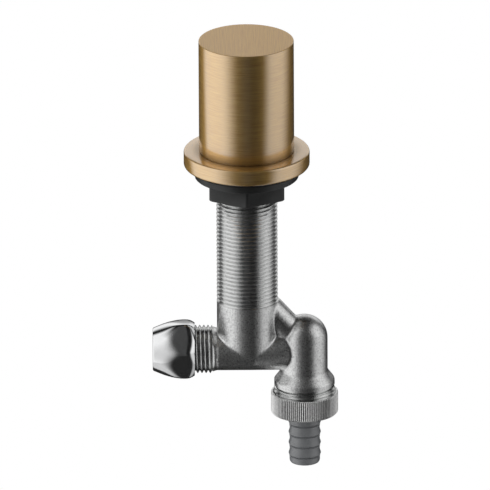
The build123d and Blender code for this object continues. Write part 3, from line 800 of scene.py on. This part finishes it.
nut_rows = 72
nut_levels = [nose_start + (nut_end - nose_start) * i / nut_rows for i in range(nut_rows + 1)]
nut_profile = [
    (inlet_bore, nut_start),
    (8.7, nut_start),
    (9.2, nut_start + 0.12),
    *((nose_radius, x) for x in nut_levels),
    (nut_thread_radius, nut_end),
    (nut_thread_radius, nut_thread_end),
    (olive_mouth, nut_thread_end),
    (inlet_bore, nut_cone_end),
    (inlet_bore, nut_start),
]
compression = turned("compression_nut_shell", nut_profile, steps=288)
for vertex in compression.data.vertices:
    radius = vertex.co.to_2d().length / MM
    if abs(radius - nose_radius) < 0.01:
        # Seen along the run, the angle runs from the front (-Y) round by the top.
        angle = atan2(-vertex.co.x, -vertex.co.y)
        grown = nut_radius(angle, vertex.co.z / MM) / radius
        vertex.co.x *= grown
        vertex.co.y *= grown
lay_along_run(compression)
finished(
    compression, "valve", chrome_finish, ["compression_nut"], angle=40
)

# Union nut: a knurled ring, with four columns of points to each tooth
union_foot, union_top, union_floor, union_mouth = -114.05, -104.7, -112.05, 7.3
union_radius, foot_chamfer, top_chamfer = 14.55, 0.5, 0.4
knurl_teeth, knurl_depth = 100, 0.38
knurl_cuts = (0.0, 0.1, knurl_depth, 0.1)
union = turned(
    "union_ring",
    [
        (union_mouth, union_floor),
        (union_mouth, union_foot),
        (union_radius - foot_chamfer, union_foot),
        (union_radius, union_foot + foot_chamfer),
        (union_radius, union_top - top_chamfer),
        (union_radius - top_chamfer, union_top),
        (sliding_hole + 0.58, union_top),
        (sliding_hole, union_top - 0.6),
        (sliding_hole, union_floor),
        (union_mouth, union_floor),
    ],
    centre_x=outlet_x,
    steps=4 * knurl_teeth,
)
# Painted shade: each point keeps how deep it is cut, which darkens the knurl's grooves
knurl_groove_shade = union.data.attributes.new("knurl_groove_shade", "FLOAT", "POINT")
for vertex in union.data.vertices:
    x, y = vertex.co.x - outlet_x * MM, vertex.co.y
    radius = sqrt(x * x + y * y)
    cut = knurl_cuts[round(atan2(y, x) / (pi / (2 * knurl_teeth))) % 4]
    if radius > (union_radius - 0.15) * MM:
        pushed = (radius - cut * MM) / radius
        vertex.co.x, vertex.co.y = outlet_x * MM + x * pushed, y * pushed
        knurl_groove_shade.data[vertex.index].value = (cut / knurl_depth) ** 2
finished(union, "valve", nut_finish, ["union_nut"], angle=18)

# Hose nozzle with its flange inside the union nut and four barbs below
nozzle_bore, flange_radius, flange_top, nozzle_end = 5.0, 12.5, -109.85, -137.45
first_barb, barb_pitch, barbs = -119.3, 4.85, 4
barb_shape = [
    (6.5, 2.7),
    (6.6, 1.9),
    (6.85, 1.1),
    (7.0, 0.6),
    (6.97, 0.35),
    (6.4, 0.2),
    (6.1, -0.1),
    (6.3, -0.4),
    (6.72, -0.6),
    (6.62, -1.2),
]
nozzle_profile = [
    (nozzle_bore, flange_top),
    (flange_radius, flange_top),
    (flange_radius, union_floor),
    (6.95, union_floor),
    (6.95, -115.0),
    (6.62, -115.5),
]
for barb in range(barbs):
    level = first_barb - barb_pitch * barb
    nozzle_profile += [(radius, level + rise) for radius, rise in barb_shape]
nozzle_profile += [
    (6.6, -136.2),
    (6.45, -136.9),
    (6.15, -137.3),
    (5.7, nozzle_end),
    (nozzle_bore, nozzle_end),
    (nozzle_bore, flange_top),
]
nozzle = turned("hose_tail", nozzle_profile, centre_x=outlet_x, steps=128)
finished(nozzle, "valve", grey_plastic, ["hose_nozzle"])

# Finishes of the other nodes
inner_finishes = {
    "handle_insert": insert_plastic,
    "grub_screw": steel_finish,
    "guide_bush": brass_finish,
    "spindle": brass_finish,
    "spindle_circlip": steel_finish,
    "spindle_o_ring": black_rubber,
    "cartridge_housing": brass_finish,
    "cartridge_gasket": black_rubber,
    "turning_disc": ceramic,
    "fixed_disc": ceramic,
    "seat_seal": black_rubber,
    "olive": brass_finish,
    "nozzle_seal": black_rubber,
    "check_valve_housing": white_plastic,
    "check_valve_ring": black_rubber,
    "check_valve_poppet": white_plastic,
}
for node, material in inner_finishes.items():
    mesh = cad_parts[node].data
    mesh.materials.clear()
    mesh.materials.append(material)

# Spring of the check valve, standing on its foot, with a mesh of its own
spring = copy_of_node("check_spring", "check_valve_spring")
tidy_mesh(spring)
finished(spring, "valve", steel_finish, ["check_valve_spring"])
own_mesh(spring)

# Camera: a long lens from the front, a little above the level
look_at = Vector((-0.9, 0, -37.05)) * MM
camera_rise, camera_roll = radians(20.9), radians(-0.28)
camera_distance, sensor_width = 9.0, 36
picture_pixels, pixels_per_mm = 490, 2.3125
camera_data = bpy.data.cameras.new("camera")
camera = bpy.data.objects.new("camera", camera_data)
bpy.context.scene.collection.objects.link(camera)
camera.location = look_at + Vector((0, -cos(camera_rise), sin(camera_rise))) * camera_distance
camera.rotation_euler = (pi / 2 - camera_rise, 0, 0)
camera.rotation_euler.rotate_axis("Z", camera_roll)
camera_data.sensor_width = sensor_width
camera_data.lens = sensor_width * camera_distance / (picture_pixels / pixels_per_mm * MM)
camera_data.clip_end = 50
bpy.context.scene.camera = camera

# Studio. Directions are in degrees: round from the front (-Y) towards +X, and above the level.
# A window is its low side, its high side and the softness of each.
left_round, left_above = (-119, -39, 11, 23), (-76, 60, 8, 10)
right_round, right_above = (50, 112, 14, 22), (-70, 52, 8, 10)
back_above = (0, 33, 9, 12)
pale_upper, pale_lower = (-60, 5, 15, 5), (-60, 9, 15, 8)


def window(tree, value, low, high, soft_low, soft_high):
    """1 between low and high, with soft edges."""
    rise = step_up(tree, value, low - soft_low, low + soft_low)
    fall = step_up(tree, value, high - soft_high, high + soft_high)
    return calc(tree, "MULTIPLY", rise, calc(tree, "SUBTRACT", 1.0, fall))


def angles_of(tree, vector):
    """Degrees round from the front, and degrees above the level."""
    x, y, z = direction_of(tree, vector)
    round_from_front = calc(tree, "ARCTAN2", x, calc(tree, "MULTIPLY", y, -1.0))
    above = calc(tree, "ARCSINE", z)
    return [calc(tree, "MULTIPLY", angle, 180 / pi) for angle in (round_from_front, above)]


def side_windows(tree, azimuth, elevation):
    """Soft-edged openings at the left and at the right of the camera."""
    left, right = (
        calc(tree, "MULTIPLY", window(tree, azimuth, *wide), window(tree, elevation, *high))
        for wide, high in ((left_round, left_above), (right_round, right_above))
    )
    fading = calc(tree, "MULTIPLY_ADD", step_up(tree, elevation, -15, 25), 0.26, 0.7)
    return left, calc(tree, "MULTIPLY", right, fading)


# Dark tent round the valve, out of the camera's sight, with openings to the white room
tent_material, tree, shader = finish_of("tent_cloth", (0.05,) * 3, 0.0, 0.9)
point = object_point(tree)
azimuth, elevation = angles_of(tree, point)
upper, lower = (window(tree, azimuth, *pale) for pale in (pale_upper, pale_lower))
paler = calc(tree, "MULTIPLY", upper, step_up(tree, elevation, 0, 50))
low_front = calc(tree, "MULTIPLY", lower, step_up(tree, elevation, -55, -20))
paler = calc(tree, "MULTIPLY_ADD", low_front, 0.62, paler)
paler = calc(tree, "MULTIPLY_ADD", noise(tree, point, 3, 2.0), 0.08, paler)
two_tone(tree, paler, (0.016,) * 3, (0.125,) * 3, shader)
left, right = side_windows(tree, azimuth, elevation)
behind = window(tree, elevation, *back_above)
left_back = calc(tree, "MULTIPLY", step_up(tree, azimuth, -136, -150), behind)
right_back = calc(tree, "MULTIPLY", step_up(tree, azimuth, 136, 150), behind)
opening = calc(tree, "ADD", calc(tree, "ADD", left, right), left_back)
opening = calc(tree, "MULTIPLY_ADD", right_back, 0.9, opening)
clear = tree.nodes.new("ShaderNodeBsdfTransparent")
blend = tree.nodes.new("ShaderNodeMixShader")
for index, output in enumerate((opening, shader.outputs[0], clear.outputs[0])):
    tree.links.new(output, blend.inputs[index])
tree.links.new(blend.outputs[0], tree.nodes["Material Output"].inputs["Surface"])
stage_radius, tent_height, floor_height = 1.5, -0.04, -1.6
bpy.ops.object.select_all(action="DESELECT")
bpy.ops.mesh.primitive_uv_sphere_add(
    segments=64, ring_count=32, radius=stage_radius, location=(0, 0, tent_height)
)
tent = bpy.context.object
tent.name = "dark_tent"
tent.data.materials.append(tent_material)
tent.visible_camera = False
tent.visible_diffuse = False

# Pale floor, far below the hanging nozzle
floor_material, tree, shader = finish_of("pale_floor", (0.8,) * 3, 0.0, 0.7)
two_tone(tree, noise(tree, object_point(tree), 4, 2.0), (0.79,) * 3, (0.81,) * 3, shader)
bpy.ops.mesh.primitive_circle_add(
    vertices=96, radius=stage_radius, fill_type="NGON", location=(0, 0, floor_height)
)
floor = bpy.context.object
floor.name = "floor"
floor.data.materials.append(floor_material)

# White room: plain white to the camera and in reflections, a soft even light on matt surfaces
world = bpy.data.worlds.new("studio")
bpy.context.scene.world = world
world.use_nodes = True
tree = world.node_tree
tree.nodes.clear()
direction = tree.nodes.new("ShaderNodeTexCoord").outputs["Generated"]
azimuth, elevation = angles_of(tree, direction)
left, right = side_windows(tree, azimuth, elevation)
even = calc(tree, "MULTIPLY_ADD", step_up(tree, elevation, -50, 50), 0.55, 0.2)
even = calc(tree, "MULTIPLY_ADD", left, 0.95, even)
even = calc(tree, "MULTIPLY_ADD", right, 0.3, even)
path = tree.nodes.new("ShaderNodeLightPath").outputs
plain = calc(tree, "MAXIMUM", path["Is Glossy Ray"], path["Is Transmission Ray"])
plain = calc(tree, "MAXIMUM", path["Is Camera Ray"], plain)
matt = calc(tree, "MULTIPLY", calc(tree, "SUBTRACT", 1.0, plain), even)
background = tree.nodes.new("ShaderNodeBackground")
background.inputs["Color"].default_value = (1, 1, 1, 1)
tree.links.new(calc(tree, "ADD", plain, matt), background.inputs["Strength"])
world_output = tree.nodes.new("ShaderNodeOutputWorld")
tree.links.new(background.outputs[0], world_output.inputs["Surface"])

bpy.context.scene.view_settings.view_transform = "Standard"
